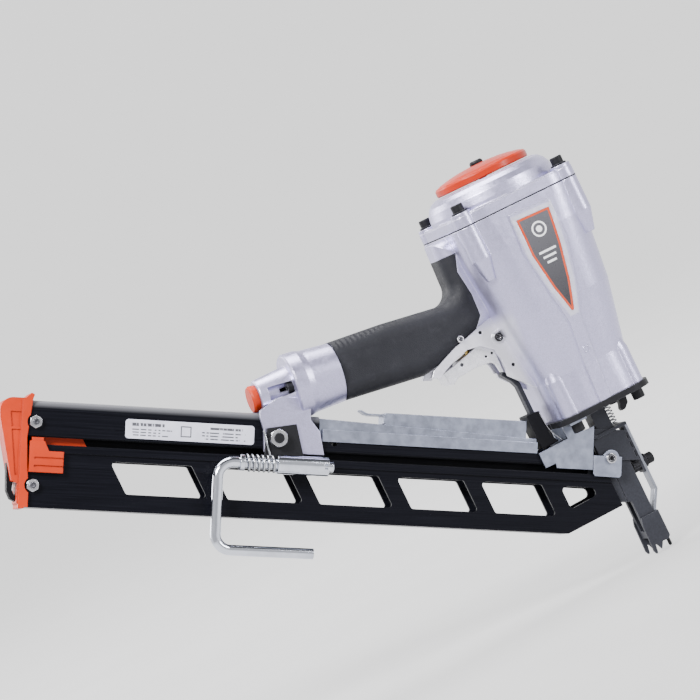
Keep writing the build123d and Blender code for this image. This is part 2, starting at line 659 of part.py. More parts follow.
def spring_cover():
    cover = mag_slab([(114, 70.9), (230.5, 75.2), (230.5, 84.6), (114, 84.6)], -8, 8)
    cover -= mag_slab([(115.2, 60), (229.3, 60), (229.3, 83.4), (115.2, 83.4)], -6.8, 6.8)
    cover += mag_block(231 - 0.6, 243, 82.2, 83.4, -8, 8) + mag_block(231 - 0.6, 232, 76, 83.4, -8, 8)
    cover += mag_slab([(242, 82.2), (246, 82.6), (250, 84.8), (250.6, 86.2), (249.4, 85.9), (245.4, 83.9),
                       (242, 83.4)], -5, 5)
    return cover


def follower_spring():
    roll = mag_cross(180, 79.2, 3.6, -5, 5) - mag_cross(180, 79.2, 1.8, -6, 6)
    return roll


def magazine_studs():
    studs = [mag_cross(319.7, 58.9, 4, side * 10.4, side * (25.6 if side < 0 else 23)) for side in SIDES]
    return studs


def magazine_nuts():
    nuts = []
    for side, seat in ((-1, 18.65), (1, 16.05)):
        x, z = mag(319.7, 58.9)
        nuts.append(facing(x, side * seat, z, side) * hex_nut(13, 6.5, 4.02))
    return nuts


def magazine_end_cap():
    shape = [(514.1, -3.5), (514.1, 79.8), (536.2, 79.8), (535, 64.5), (524.4, 16),
             (519.6, 14.4), (519.6, -0.5), (517, -3.5)]
    face = outline([mag(u, v) for u, v in shape])
    crown = face.vertices().sort_by_distance((*mag(536.2, 79.8), 0))[0]
    cap = slab(fillet(crown, 10), -12.4, 12.4)
    lip = mag_slab([(511.2, -4.6), (511.2, 10), (513, 30), (514, 50), (510.8, 79), (509.6, 82.6), (512, 83.8),
                    (516, 80), (518.5, 79), (518.5, -4.6)], -14, 14)
    lip -= mag_block(480, 514.1, -3.6, 51.6, -11.1, 11.1)
    lip -= mag_block(480, 514.1, 38.9, 44.5, -12.6, 12.6) + mag_block(480, 514.1, 51.4, 78.6, -12.6, 12.6)
    lip -= mag_block(480, 514.1, 44, 52, -12.6, 12.6)
    lip -= mag_block(480, 514.1, -6, MAG_BOTTOM, -14, 14)
    cap += lip
    recesses = (((519, 57.5), (526, 57.5), (527.4, 69), (519, 69)),
                ((519, 20.5), (522, 20.5), (526, 55.5), (519, 55.5)))
    for recess in recesses:
        for side in SIDES:
            cap -= side_slab(outline([mag(u, v) for u, v in recess]), 11.4, 14, side)
    for u, v in END_BOLTS:
        cap -= mag_cross(u, v, 6.4, -20, 20)
    return cap


def end_cap_bolts():
    bolts = []
    for (u, v), face in zip(END_BOLTS, (RAIL_Y, PANEL_Y)):
        x, z = mag(u, v)
        head = facing(x, face + 0.05, z, 1) * socket_screw(4.2, 3.6, 2.5, 2 * face + 4.6, 2)
        bolts.append(head)
    return bolts


def end_bolt_nuts():
    nuts = []
    for (u, v), face in zip(END_BOLTS, (RAIL_Y, PANEL_Y)):
        x, z = mag(u, v)
        nuts.append(facing(x, -face - 0.05, z, -1) * hex_nut(9, 3.6, 2.52))
    return nuts


def rear_guard():
    loop = mag_slab([(521, 30), (527.6, 30), (526.6, 9), (523.6, 2.6), (516.6, -0.6), (516.6, 3.6),
                     (520.6, 5.4), (522.6, 9.6)], -5, 5)
    return loop - magazine_end_cap()


def follower():
    def at_x(x, v):
        return ((v * SIN - x) / COS, v)
    body = mag_slab([at_x(-386, 2), (500, 2), (500, 24), (510, 24), (510, 57), at_x(-386, 57)], -4, 4)
    body += mag_block(501, 510, 45.4, 50.2, -12.7, 0)
    body += mag_block(501, 510, 45.4, 47.2, -13.4, -12)
    pad = mag_slab([(485.6, 23.4), (511.8, 23.4), (511.8, 47.2), (500.5, 47.2), (497, 39.8), (485.6, 39.8)],
                   -15.6, -12.85)
    for v in (27.2, 33.4):
        pad -= mag_block(480, 508, v, v + 1.6, -16, -14.6)
    return body + pad


# ---- rafter hook ----
def hook_bracket():
    plate = mag_slab([(328.4, 66.5), (305, 71), (296.8, 41), (329.6, 41)], -18.6, -16.1)
    stud = mag(319.7, 58.9)
    plate -= cross_rod(*stud, 4.1, -30, 0)
    return plate - rod(mag_at(270, HOOK_Y, HOOK_V), mag_at(340, HOOK_Y, HOOK_V), 7.52)


def hook_sleeve():
    sleeve = rod(mag_at(280.3, HOOK_Y, HOOK_V), mag_at(321, HOOK_Y, HOOK_V), 7.5)
    sleeve -= rod(mag_at(270, HOOK_Y, HOOK_V), mag_at(340, HOOK_Y, HOOK_V), HOOK_R + RUNNING_FIT)
    return sleeve - mag_block(279, 284, HOOK_V - 2, HOOK_V + 2, HOOK_Y - 9, HOOK_Y + 9)


def hook_rod():
    points = [mag_at(276, HOOK_Y, HOOK_V), mag_at(HOOK_REAR, HOOK_Y, HOOK_V),
              mag_at(HOOK_REAR, HOOK_Y, HOOK_LOW), mag_at(HOOK_TIP, HOOK_Y, HOOK_LOW)]
    path = FilletPolyline(*points, radius=12)
    return sweep(Plane(origin=points[0], z_dir=path % 0) * Circle(HOOK_R), path=path)


def hook_collar():
    ring = rod(mag_at(347, HOOK_Y, HOOK_V), mag_at(350.4, HOOK_Y, HOOK_V), 6.4)
    return ring - rod(mag_at(340, HOOK_Y, HOOK_V), mag_at(360, HOOK_Y, HOOK_V), HOOK_R + 0.05)


def hook_spring():
    along = Vector(*mag_at(1, 0, 0))
    start = Plane(origin=mag_at(322.2, HOOK_Y, HOOK_V), x_dir=(0, 1, 0), z_dir=along)
    turns = start * coil((0, 0, 0), 23.6, 6, 6.2, 0.9)
    leg = rod(mag_at(331, -19.6, 64), mag_at(324.5, -19.6, 42.6), 0.9)
    return turns + leg


# ---- labels ----
def rating_label():
    return mag_block(337, 438.5, 53.2, 68, -RAIL_Y - 0.3, -RAIL_Y, 2.4)


PARTS = {
    "housing": housing, "name_badge": name_badge, "grip_sleeve": grip_sleeve, "cylinder_cap": cylinder_cap,
    "cap_gasket": cap_gasket, "cap_screws": cap_screws, "cap_washers": cap_washers,
    "exhaust_deflector": exhaust_deflector, "deflector_screw": deflector_screw,
    "cylinder_sleeve": cylinder_sleeve, "sleeve_seals": sleeve_seals, "bumper": bumper, "piston": piston,
    "piston_ring": piston_ring, "driver_blade": driver_blade, "head_valve": head_valve,
    "head_valve_spring": head_valve_spring, "trigger": trigger, "trigger_pin": trigger_pin,
    "lever_pin": lever_pin, "trigger_lever": trigger_lever, "trigger_valve_body": trigger_valve_body,
    "trigger_valve_stem": trigger_valve_stem, "trigger_valve_spring": trigger_valve_spring,
    "valve_pin": valve_pin, "end_cap": end_cap, "end_cap_gasket": end_cap_gasket,
    "end_cap_screws": end_cap_screws, "inlet_plug": inlet_plug, "nose_plate": nose_plate,
    "nose_bolts": nose_bolts, "drive_guide": drive_guide, "nose_cover": nose_cover,
    "nose_brackets": nose_brackets, "nose_clips": nose_clips, "clip_screws": clip_screws,
    "arm_guide": arm_guide, "contact_yoke": contact_yoke, "contact_spring": contact_spring,
    "depth_knob": depth_knob, "contact_strap": contact_strap, "contact_claw": contact_claw,
    "contact_prong": contact_prong, "magazine_body": magazine_body, "top_channel": top_channel,
    "spring_cover": spring_cover, "follower_spring": follower_spring, "magazine_studs": magazine_studs,
    "magazine_nuts": magazine_nuts, "magazine_end_cap": magazine_end_cap, "end_cap_bolts": end_cap_bolts,
    "end_bolt_nuts": end_bolt_nuts, "rear_guard": rear_guard, "follower": follower,
    "hook_bracket": hook_bracket, "hook_sleeve": hook_sleeve, "hook_rod": hook_rod,
    "hook_collar": hook_collar, "hook_spring": hook_spring, "rating_label": rating_label,
}

os.makedirs("parts", exist_ok=True)
for name, make in PARTS.items():
    made = make()
    export_step(Compound(made) if isinstance(made, list) else made, f"parts/{name}.step")
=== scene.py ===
import json
import math

import bmesh
import bpy
from mathutils import Matrix, Vector


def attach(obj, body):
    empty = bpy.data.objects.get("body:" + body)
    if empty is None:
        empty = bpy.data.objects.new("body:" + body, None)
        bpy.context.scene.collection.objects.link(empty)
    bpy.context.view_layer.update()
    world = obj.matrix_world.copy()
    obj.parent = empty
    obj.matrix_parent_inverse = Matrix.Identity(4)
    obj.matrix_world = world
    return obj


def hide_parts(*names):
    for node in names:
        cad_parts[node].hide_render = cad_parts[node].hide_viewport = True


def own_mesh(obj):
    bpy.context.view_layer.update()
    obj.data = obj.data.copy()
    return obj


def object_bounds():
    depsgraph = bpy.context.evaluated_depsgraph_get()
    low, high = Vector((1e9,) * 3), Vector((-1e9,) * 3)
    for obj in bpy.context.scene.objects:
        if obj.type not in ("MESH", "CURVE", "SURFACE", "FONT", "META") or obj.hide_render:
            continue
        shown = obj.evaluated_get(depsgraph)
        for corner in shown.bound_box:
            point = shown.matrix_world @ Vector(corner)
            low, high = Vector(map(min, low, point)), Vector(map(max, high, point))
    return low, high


# Looks for the pneumatic framing nailer. Lengths are in metres in the row's frame: +Z runs up the
# drive axis, +X is forward and -Y is the side with the hook. u and v are the magazine's own axes.

ANGLE = math.radians(29)
SIN, COS = math.sin(ANGLE), math.cos(ANGLE)

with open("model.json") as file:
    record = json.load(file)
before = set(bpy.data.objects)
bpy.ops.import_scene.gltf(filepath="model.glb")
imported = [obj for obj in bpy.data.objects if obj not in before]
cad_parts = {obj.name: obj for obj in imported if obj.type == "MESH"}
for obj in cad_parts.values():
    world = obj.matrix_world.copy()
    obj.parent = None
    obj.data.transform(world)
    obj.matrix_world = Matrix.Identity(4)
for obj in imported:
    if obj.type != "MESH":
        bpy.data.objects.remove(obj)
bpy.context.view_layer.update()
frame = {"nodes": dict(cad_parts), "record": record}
nodes = frame["nodes"]


def mag(u, y, v):
    """A point in the magazine's axes, in millimetres, as a place in metres."""
    return Vector((-u * COS + v * SIN, y, u * SIN + v * COS)) / 1000


# ---- shader building ----
class Shader:
    """A material under construction, with short names for the nodes it uses."""

    def __init__(self, name, **values):
        self.material = bpy.data.materials.new(name)
        self.material.use_nodes = True
        self.tree = self.material.node_tree
        self.tree.nodes.clear()
        self.surface = self.tree.nodes.new("ShaderNodeBsdfPrincipled")
        output = self.tree.nodes.new("ShaderNodeOutputMaterial")
        self.tree.links.new(self.surface.outputs[0], output.inputs["Surface"])
        self.place = self.tree.nodes.new("ShaderNodeTexCoord").outputs["Object"]
        for key, value in values.items():
            self.surface.inputs[key.replace("_", " ")].default_value = value
        self.heights = []

    def node(self, kind, inputs=(), **settings):
        made = self.tree.nodes.new(kind)
        for key, value in settings.items():
            setattr(made, key, value)
        for index, value in enumerate(inputs):
            if isinstance(value, bpy.types.NodeSocket):
                self.tree.links.new(value, made.inputs[index])
            elif value is not None:
                made.inputs[index].default_value = value
        return made

    def math(self, operation, a, b=0.0):
        return self.node("ShaderNodeMath", (a, b), operation=operation).outputs[0]

    def noise(self, scale, detail=4.0, roughness=0.55, vector=None):
        made = self.node("ShaderNodeTexNoise")
        self.tree.links.new(vector or self.place, made.inputs["Vector"])
        made.inputs["Scale"].default_value = scale
        made.inputs["Detail"].default_value = detail
        made.inputs["Roughness"].default_value = roughness
        return made.outputs[0]

    def cells(self, scale, feature="F1", vector=None):
        made = self.node("ShaderNodeTexVoronoi", feature=feature)
        self.tree.links.new(vector or self.place, made.inputs["Vector"])
        made.inputs["Scale"].default_value = scale
        return made.outputs["Distance"]

    def cell_value(self, scale):
        made = self.node("ShaderNodeTexVoronoi")
        self.tree.links.new(self.place, made.inputs["Vector"])
        made.inputs["Scale"].default_value = scale
        return self.node("ShaderNodeSeparateColor", (made.outputs["Color"],)).outputs[0]

    def turned(self, angle, scale=(1, 1, 1)):
        """The place, turned about Y by an angle and then stretched."""
        rotated = self.node("ShaderNodeVectorRotate", rotation_type="Y_AXIS")
        self.tree.links.new(self.place, rotated.inputs["Vector"])
        rotated.inputs["Angle"].default_value = angle
        made = self.node("ShaderNodeMapping")
        self.tree.links.new(rotated.outputs[0], made.inputs["Vector"])
        made.inputs["Scale"].default_value = scale
        return made.outputs[0]

    def axes(self, vector=None):
        return self.node("ShaderNodeSeparateXYZ", (vector or self.place,)).outputs

    def range(self, value, low, high, to_low=0.0, to_high=1.0):
        made = self.node("ShaderNodeMapRange", (value, low, high, to_low, to_high))
        made.clamp = True
        return made.outputs[0]

    def blend(self, fac, a, b, kind="MIX"):
        made = self.node("ShaderNodeMix", data_type="RGBA", blend_type=kind)
        for index, value in ((0, fac), (6, a), (7, b)):
            if isinstance(value, bpy.types.NodeSocket):
                self.tree.links.new(value, made.inputs[index])
            elif index:
                made.inputs[index].default_value = (*value, 1.0)
            else:
                made.inputs[index].default_value = value
        return made.outputs[2]

    def edges(self, radius=0.0012, sharp=0.35):
        """1 along the edges of the solid and 0 on its faces."""
        rounded = self.node("ShaderNodeBevel", samples=4)
        rounded.inputs["Radius"].default_value = radius
        normal = self.node("ShaderNodeNewGeometry").outputs["Normal"]
        dot = self.node("ShaderNodeVectorMath", (rounded.outputs[0], normal), operation="DOT_PRODUCT")
        return self.range(dot.outputs["Value"], 0.995, 1.0 - sharp, 0.0, 1.0)

    def colour(self, socket):
        self.tree.links.new(socket, self.surface.inputs["Base Color"])

    def rough(self, socket):
        self.tree.links.new(socket, self.surface.inputs["Roughness"])

    def relief(self, *layers, edge=0.0007):
        """Bumps as (height, metres), laid over edges rounded by the given radius."""
        normal = None
        if edge:
            rounded = self.node("ShaderNodeBevel", samples=4)
            rounded.inputs["Radius"].default_value = edge
            normal = rounded.outputs[0]
        for height, distance in layers:
            bump = self.node("ShaderNodeBump")
            bump.inputs["Strength"].default_value = 1.0
            bump.inputs["Distance"].default_value = distance
            self.tree.links.new(height, bump.inputs["Height"])
            if normal is not None:
                self.tree.links.new(normal, bump.inputs["Normal"])
            normal = bump.outputs[0]
        self.tree.links.new(normal, self.surface.inputs["Normal"])

    def inside(self, corners):
        """How far inside a convex outline of X and Z a place is, in millimetres."""
        x, _, z = self.axes()[:3]
        nearest = None
        middle = [sum(c[i] for c in corners) / len(corners) for i in (0, 1)]
        for (ax, az), (bx, bz) in zip(corners, corners[1:] + corners[:1]):
            length = math.hypot(bx - ax, bz - az)
            nx, nz = -(bz - az) / length, (bx - ax) / length
            if (middle[0] - ax) * nx + (middle[1] - az) * nz < 0:
                nx, nz = -nx, -nz
            side = self.math("ADD", self.math("MULTIPLY", x, nx * 1000),
                             self.math("MULTIPLY", z, nz * 1000))
            side = self.math("SUBTRACT", side, ax * nx + az * nz)
            nearest = side if nearest is None else self.math("MINIMUM", nearest, side)
        return nearest


def silver_paint(name, tone, rim_highlight_and_ears=False):
    """Satin metallic paint over a casting: fine flakes, a faint orange peel and rubbed edges; on the
    housing also a painted highlight round the badge and lighter trigger ears.
    """
    s = Shader(name, Metallic=0.86, Coat_Weight=0.15, Coat_Roughness=0.25)
    flakes = s.cell_value(2600)
    clouds = s.noise(14, 3)
    lit = s.blend(s.range(flakes, 0.0, 1.0), [c * 0.82 for c in tone], [min(c * 1.16, 1) for c in tone])
    lit = s.blend(s.range(clouds, 0.3, 0.7, 0.0, 0.35), lit, [c * 0.90 for c in tone])
    dirt = s.range(s.noise(55, 6, 0.7), 0.60, 0.78, 0.0, 0.30)
    lit = s.blend(dirt, lit, [c * 0.6 for c in tone])
    if rim_highlight_and_ears:
        x, _, z = s.axes()[:3]
        # Painted highlight: a light band just outside the badge outline stands in for light caught by the
        # raised frame round it; the trigger ears are simply a lighter tone.
        painted_rim_highlight = s.range(s.inside(BADGE), -4.4, -3.0, 0.0, 0.55)
        ears = s.math("MULTIPLY", s.range(z, 0.218, 0.208), s.range(x, -0.040, -0.048, 0.0, 0.85))
        lit = s.blend(s.math("MAXIMUM", painted_rim_highlight, ears), lit, (0.80, 0.79, 0.86))
    s.colour(s.blend(s.math("MULTIPLY", s.edges(), s.noise(90, 4)), lit, (0.84, 0.83, 0.88)))
    s.rough(s.range(s.noise(320, 4), 0.3, 0.7, 0.29, 0.41))
    s.relief((s.noise(750, 3), 0.00009), (s.noise(70, 2), 0.00016), edge=0.0011)
    return s.material


def moulded(name, tone, rough, grain=0.00005, gloss=0.0, shine=0.4):
    """A moulded plastic with a fine grain, slight unevenness and specks of dust."""
    s = Shader(name, Coat_Weight=gloss, Coat_Roughness=0.12, Specular_IOR_Level=shine)
    uneven = s.blend(s.range(s.noise(35, 4), 0.3, 0.7), [c * 0.86 for c in tone],
                     [min(c * 1.08, 1) for c in tone])
    specks = s.range(s.noise(1400, 2), 0.70, 0.78, 0.0, 0.35)
    uneven = s.blend(specks, uneven, [c * 0.5 for c in tone])
    rub = s.math("MULTIPLY", s.edges(0.0009), s.range(s.noise(160, 5), 0.35, 0.65, 0.0, 0.25))
    s.colour(s.blend(rub, uneven, [min(c * 1.4 + 0.012, 1) for c in tone]))
    s.rough(s.range(s.noise(210, 5), 0.3, 0.7, rough - 0.06, rough + 0.09))
    s.relief((s.noise(1100, 2), grain), (s.noise(60, 2), 0.00012), edge=0.0008)
    return s.material


def steel(name, tone, rough, grain=(90, 90, 900), metallic=1.0, edge_tone=None, scratch=0.5, blotch=0.25):
    """Metal with brushing or machining marks, blotches and edges rubbed bright."""
    s = Shader(name, Metallic=metallic, Specular_IOR_Level=0.5 if metallic > 0.5 else 0.15)
    brushed = s.noise(1.0, 4, 0.6, s.turned(0, grain))
    marks = s.blend(s.range(brushed, 0.35, 0.65), [c * 0.84 for c in tone], [min(c * 1.1, 1) for c in tone])
    patches = s.range(s.noise(45, 5, 0.65), 0.42, 0.68, 0.0, blotch)
    marks = s.blend(patches, marks, [c * 0.62 for c in tone])
    bright = edge_tone or [min(c * 1.5 + 0.06, 1) for c in tone]
    rub = s.math("MULTIPLY", s.edges(0.0008), s.range(s.noise(240, 4), 0.35, 0.6, 0.15, 0.9))
    s.colour(s.blend(rub, marks, bright))
    s.rough(s.range(brushed, 0.3, 0.7, rough * (1 - scratch * 0.3), rough * (1 + scratch * 0.4)))
    s.relief((brushed, 0.00003 * (1 + scratch)), (s.noise(260, 3), 0.00004), edge=0.0006)
    return s.material


def chrome(name):
    s = Shader(name, Metallic=1.0)
    haze = s.noise(60, 5, 0.6)
    s.colour(s.blend(s.range(haze, 0.4, 0.7), (0.64, 0.665, 0.74), (0.50, 0.52, 0.59)))
    s.rough(s.range(haze, 0.35, 0.7, 0.07, 0.2))
    s.relief((s.noise(180, 3), 0.00003), edge=0.0008)
    return s.material


def grip_rubber(name):
    """Soft over-moulding: leathery grain, with ribs across the top by the thumb."""
    s = Shader(name, Specular_IOR_Level=0.2)
    x, _, z = s.axes()[:3]
    tone = s.blend(s.range(s.noise(30, 4), 0.3, 0.7), (0.0070, 0.0072, 0.0100), (0.0125, 0.0128, 0.0170))
    dust = s.range(s.noise(130, 6, 0.7), 0.55, 0.8, 0.0, 0.3)
    s.colour(s.blend(dust, tone, (0.034, 0.034, 0.042)))
    s.rough(s.range(s.noise(300, 4), 0.3, 0.7, 0.48, 0.66))
    ribs = s.math("SINE", s.math("MULTIPLY", x, 2 * math.pi / 0.0042))
    near_top = s.range(z, 0.2465, 0.2490)
    behind = s.range(x, -0.130, -0.134)
    ribs = s.math("MULTIPLY", s.math("MULTIPLY", ribs, near_top), behind)
    s.relief((ribs, 0.00018), (s.cells(1500), 0.00012), (s.noise(50, 2), 0.0002), edge=0.0009)
    return s.material


def magazine_paint(name):
    """Black anodised extrusion: long die lines, dust, fine scuffs and a painted sheen along the top crest.
    """
    s = Shader(name, Specular_IOR_Level=0.08)
    along = s.turned(-ANGLE, (14, 260, 1900))
    lines = s.noise(1.0, 4, 0.6, along)
    tone = s.blend(s.range(lines, 0.35, 0.65), (0.0012, 0.0013, 0.0026), (0.0038, 0.0040, 0.0068))
    dust = s.range(s.noise(1800, 2), 0.72, 0.80, 0.0, 0.15)
    tone = s.blend(dust, tone, (0.12, 0.12, 0.13))
    scuffs = s.range(s.noise(1.0, 6, 0.7, s.turned(-ANGLE, (60, 300, 420))), 0.62, 0.80, 0.0, 0.22)
    tone = s.blend(scuffs, tone, (0.024, 0.024, 0.030))
    # Painted sheen: the rounded top shoulder is lightened to stand in for light caught along the crest,
    # broken up by the die lines.
    painted_crest_sheen = s.range(s.axes(s.turned(-ANGLE))[2], 0.0725, 0.0785)
    painted_crest_sheen = s.math("MULTIPLY", painted_crest_sheen, s.range(lines, 0.2, 0.6, 0.75, 1.0))
    tone = s.blend(painted_crest_sheen, tone, (0.15, 0.15, 0.165))
    s.colour(s.blend(s.math("MULTIPLY", s.edges(0.0007), 0.12), tone, (0.06, 0.06, 0.07)))
    s.rough(s.range(lines, 0.3, 0.7, 0.26, 0.40))
    s.relief((lines, 0.00004), edge=0.0004)
    return s.material


BADGE = [(-10.4, 277.6), (-10.4, 247.4), (-4.7, 216.3), (1.6, 194.6), (3.8, 194.6), (10.4, 217.7),
         (15.6, 245.5), (19.2, 276.5)]


def badge_print(name):
    """A generic badge: coral border, dark field shading to lighter, and a plain ring with two bars."""
    s = Shader(name, Coat_Weight=0.2, Coat_Roughness=0.2, Specular_IOR_Level=0.3)
    x, _, z = s.axes()[:3]
    depth = s.inside(BADGE)
    field = s.blend(s.range(z, 0.205, 0.275), (0.026, 0.024, 0.028), (0.085, 0.083, 0.095))
    field = s.blend(s.range(s.noise(900, 2), 0.35, 0.65, 0.0, 0.25), field, (0.06, 0.06, 0.07))
    dx = s.math("SUBTRACT", s.math("MULTIPLY", x, 1000), 4.0)
    dz = s.math("SUBTRACT", s.math("MULTIPLY", z, 1000), 264.0)
    far = s.math("SQRT", s.math("ADD", s.math("MULTIPLY", dx, dx), s.math("MULTIPLY", dz, dz)))
    ring = s.math("LESS_THAN", s.math("ABSOLUTE", s.math("SUBTRACT", far, 5.6)), 0.7)
    dot = s.math("LESS_THAN", far, 2.6)
    field = s.blend(s.math("MAXIMUM", ring, dot), field, (0.75, 0.75, 0.77))
    for level, width in ((246.0, 7.6), (241.5, 5.8), (237.0, 4.2)):
        off = s.math("ABSOLUTE", s.math("SUBTRACT", s.math("MULTIPLY", z, 1000), level))
        wide = s.math("ABSOLUTE", s.math("SUBTRACT", dx, -0.8))
        bar = s.math("MULTIPLY", s.math("LESS_THAN", off, 0.9), s.math("LESS_THAN", wide, width))
        field = s.blend(bar, field, (0.70, 0.70, 0.72))
    border = s.math("LESS_THAN", depth, 1.9)
    coral = s.blend(s.range(s.noise(60, 3), 0.3, 0.7), (0.42, 0.040, 0.010), (0.50, 0.065, 0.022))
    s.colour(s.blend(border, field, coral))
    s.rough(s.range(s.noise(150, 4), 0.3, 0.7, 0.22, 0.36))
    s.relief((s.noise(900, 2), 0.00003), (border, 0.00012), edge=0.0004)
    return s.material


# The label's bars: from u to u, at a level v, with half a height, all in millimetres.
LABEL_BARS = ((408, 434, 64.2, 1.2), (402, 434, 60.4, 0.45), (410, 434, 58.2, 0.45), (405, 434, 56.0, 0.45),
              (346, 372, 64.0, 0.9), (344, 380, 60.6, 0.5), (350, 380, 58.2, 0.5), (344, 376, 55.8, 0.5))


def label_print(name):
    """A plain rating label: pale print ground with bars in place of any wording, and a thin frame line."""
    s = Shader(name, Coat_Weight=0.2, Coat_Roughness=0.3)
    across = s.turned(-ANGLE)
    a, _, v = s.axes(across)[:3]
    u = s.math("MULTIPLY", a, -1000)
    v = s.math("MULTIPLY", v, 1000)
    ground = s.blend(s.range(s.noise(80, 4), 0.3, 0.7), (0.46, 0.46, 0.55), (0.56, 0.56, 0.65))
    bars = None
    for low_u, high_u, level, half in LABEL_BARS:
        row = s.math("LESS_THAN", s.math("ABSOLUTE", s.math("SUBTRACT", v, level)), half)
        reach = s.math("MULTIPLY", s.math("GREATER_THAN", u, low_u), s.math("LESS_THAN", u, high_u))
        broken = s.range(s.noise(1.0, 1, 0.5, s.turned(-ANGLE, (520, 1, 60))), 0.40, 0.46)
        bar = s.math("MULTIPLY", s.math("MULTIPLY", row, reach), broken)
        bars = bar if bars is None else s.math("MAXIMUM", bars, bar)
    disc_u = s.math("ABSOLUTE", s.math("SUBTRACT", u, 391.0))
    disc_v = s.math("ABSOLUTE", s.math("SUBTRACT", v, 60.5))
    off = s.math("ABSOLUTE", s.math("SUBTRACT", s.math("MAXIMUM", disc_u, disc_v), 3.8))
    mark = s.math("LESS_THAN", off, 0.45)
    bars = s.math("MAXIMUM", bars, mark)
    s.colour(s.blend(bars, ground, (0.05, 0.05, 0.06)))
    s.rough(s.range(s.noise(200, 4), 0.3, 0.7, 0.32, 0.45))
    s.relief((s.noise(700, 2), 0.00002), edge=0.0003)
    return s.material


def wheel_steel(name, tone):
    """Dark oxide steel with a fine grain and edges worn to bare metal."""
    return steel(name, tone, 0.46, (700, 700, 700), metallic=0.3, edge_tone=(0.13, 0.13, 0.15), scratch=0.4)


SILVER = (0.475, 0.455, 0.655)
materials = {
    "housing_paint": silver_paint("housing_paint", SILVER, rim_highlight_and_ears=True),
    "cap_paint": silver_paint("cap_paint", SILVER),
    "end_cap_paint": silver_paint("end_cap_paint", [c * 0.94 for c in SILVER]),
    "badge_print": badge_print("badge_print"),
    "grip_rubber": grip_rubber("grip_rubber"),
    "trigger_metal": silver_paint("trigger_metal", (0.78, 0.775, 0.835)),
    "orange_gloss": moulded("orange_gloss", (0.36, 0.017, 0.0015), 0.33, gloss=0.08, shine=0.2),
    "orange_matte": moulded("orange_matte", (0.39, 0.025, 0.003), 0.42, shine=0.2),
    "black_plastic": moulded("black_plastic", (0.0035, 0.0035, 0.005), 0.55, shine=0.12),
    "follower_plastic": moulded("follower_plastic", (0.38, 0.026, 0.004), 0.42, shine=0.2),
    "magazine_finish": magazine_paint("magazine_finish"),
    "zinc_plate": steel("zinc_plate", (0.26, 0.28, 0.355), 0.38, grain=(130, 130, 130), blotch=0.35),
    "strap_steel": steel("strap_steel", (0.23, 0.24, 0.28), 0.34, grain=(500, 500, 60)),
    "black_steel": wheel_steel("black_steel", (0.012, 0.012, 0.014)),
    "nose_steel": wheel_steel("nose_steel", (0.026, 0.027, 0.034)),
    "bright_steel": steel("bright_steel", (0.50, 0.50, 0.53), 0.26, grain=(300, 300, 300)),
    "chrome_hook": chrome("chrome_hook"),
    "spring_steel": steel("spring_steel", (0.44, 0.45, 0.48), 0.25, grain=(300, 300, 300)),
    "inner_aluminium": steel("inner_aluminium", (0.62, 0.62, 0.64), 0.33, grain=(60, 60, 1200)),
    "seal_rubber": moulded("seal_rubber", (0.012, 0.012, 0.012), 0.5),
    "bumper_rubber": moulded("bumper_rubber", (0.020, 0.020, 0.024), 0.55),
    "gasket_paper": moulded("gasket_paper", (0.010, 0.010, 0.011), 0.7, grain=0.0001, shine=0.1),
    "brass_valve": steel("brass_valve", (0.62, 0.43, 0.15), 0.3, grain=(80, 80, 1200)),
    "label_print": label_print("label_print"),
}
for part in frame["record"]["subparts"]:
    mesh = nodes[part["node"]].data
    mesh.materials.clear()
    mesh.materials.append(materials[part["material_slot"]])


# ---- small pieces ----
def piece(name, build, slot_name, body):
    """A mesh piece made by a function that fills a bmesh, riding on a body."""
    bm = bmesh.new()
    build(bm)
    bmesh.ops.recalc_face_normals(bm, faces=bm.faces)
    mesh = bpy.data.meshes.new(name)
    bm.to_mesh(mesh)
    bm.free()
    for polygon in mesh.polygons:
        polygon.use_smooth = True
    made = bpy.data.objects.new(name, mesh)
    bpy.context.scene.collection.objects.link(made)
    made.data.materials.append(materials[slot_name])
    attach(made, body)
    return made


def placing(origin, direction):
    """A frame at a point, with its Z along a direction."""
    turn = Vector(direction).to_track_quat("Z", "Y").to_matrix().to_4x4()
    return Matrix.Translation(origin) @ turn


def lathe(bm, profile, place, steps=40):
    """A closed ring of radius and height, turned about the frame's Z."""
    rings = []
    for k in range(steps):
        a = 2 * math.pi * k / steps
        places = [place @ Vector((r * math.cos(a), r * math.sin(a), h)) for r, h in profile]
        rings.append([bm.verts.new(c) for c in places])
    for k in range(steps):
        here, after = rings[k], rings[(k + 1) % steps]
        for i in range(len(profile)):
            j = (i + 1) % len(profile)
            bm.faces.new((here[i], here[j], after[j], after[i]))


def ring_piece(name, origin, direction, radius, thickness, slot_name, body):
    """A round-sectioned ring."""
    place = placing(origin, direction)
    section = [(radius + thickness * math.cos(a * math.pi / 4), thickness * math.sin(a * math.pi / 4))
               for a in range(8)]
    return piece(name, lambda bm: lathe(bm, section, place), slot_name, body)


def wire(name, points, radius, slot_name, body):
    """A round wire along a smooth line."""
    curve = bpy.data.curves.new(name, "CURVE")
    curve.dimensions, curve.bevel_depth, curve.bevel_resolution = "3D", radius, 3
    line = curve.splines.new("NURBS")
    line.points.add(len(points) - 1)
    for point, place in zip(line.points, points):
        point.co = (*[c / 1000 for c in place], 1.0)
    line.order_u, line.use_endpoint_u, line.resolution_u = 3, True, 12
    made = bpy.data.objects.new(name, curve)
    bpy.context.scene.collection.objects.link(made)
    curve.materials.append(materials[slot_name])
    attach(made, body)
    return made


